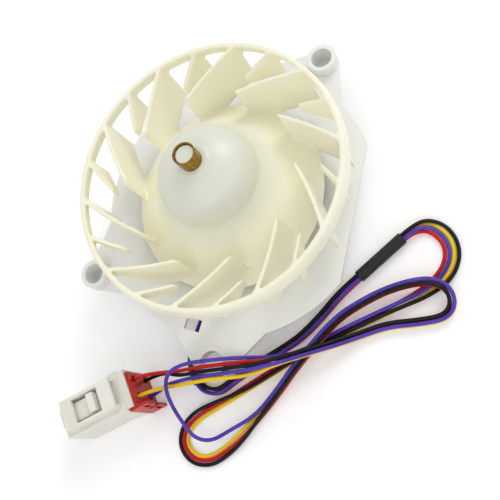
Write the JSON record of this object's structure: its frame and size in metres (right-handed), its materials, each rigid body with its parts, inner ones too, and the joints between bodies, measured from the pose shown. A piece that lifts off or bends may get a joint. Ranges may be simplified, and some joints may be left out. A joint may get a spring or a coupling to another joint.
{
  "type": "evaporator fan motor",
  "caption": "Cream turbo impeller with a flared inlet ring over a round eared mounting plate, its motor under the hub bell and in the rear cover, with a looped lead and a plug.",
  "frame": {"origin": "centre of the rear cover's flat face, on the fan axis", "axes": "+Z along the fan axis, from the rear cover to the inlet ring; +X towards the ear that stands alone"},
  "size_m": [0.1967, 0.1596, 0.0629],
  "materials": {
    "cream_plastic": "satin moulded cream polypropylene",
    "white_plastic": "satin moulded white",
    "connector_plastic": "satin nylon",
    "red_plastic": "satin",
    "brass": "turned",
    "steel": "ground",
    "ferrite": "matt",
    "board": "solder mask",
    "chip": "matt",
    "can": "drawn can",
    "insulator": "matt",
    "copper": "enamelled winding",
    "black_wire": "smooth insulation",
    "red_wire": "smooth insulation",
    "purple_wire": "smooth insulation",
    "yellow_wire": "smooth insulation",
    "sleeve": "shrunk tube",
    "contact": "tinned"
  },
  "bodies": {
    "motor": {"mounting_plate": "white_plastic", "rear_cover": "white_plastic", "rear_bearing": "steel", "front_bearing": "steel", "cover_screws": "steel", "board_screws": "steel", "circuit_board": "board", "driver_chip": "chip", "hall_sensor": "chip", "filter_capacitor": "can", "stator_core": "steel", "upper_insulator": "insulator", "lower_insulator": "insulator", "stator_coils": "copper", "black_wire": "black_wire", "red_wire": "red_wire", "purple_wire": "purple_wire", "yellow_wire": "yellow_wire", "exit_sleeve": "sleeve", "mid_sleeve": "sleeve", "connector_housing": "connector_plastic", "connector_retainer": "red_plastic", "connector_terminals": "contact"},
    "fan": {"impeller": "cream_plastic", "brass_ring": "brass", "shaft": "steel", "rotor_yoke": "steel", "rotor_magnet": "ferrite", "preload_spring": "steel", "shaft_clip": "steel"}
  },
  "joints": [
    {"name": "fan_spin", "type": "hinge", "parent": "motor", "child": "fan", "pos_m": [0, 0, 0], "axis": [0, 0, 1], "continuous": true}
  ]
}
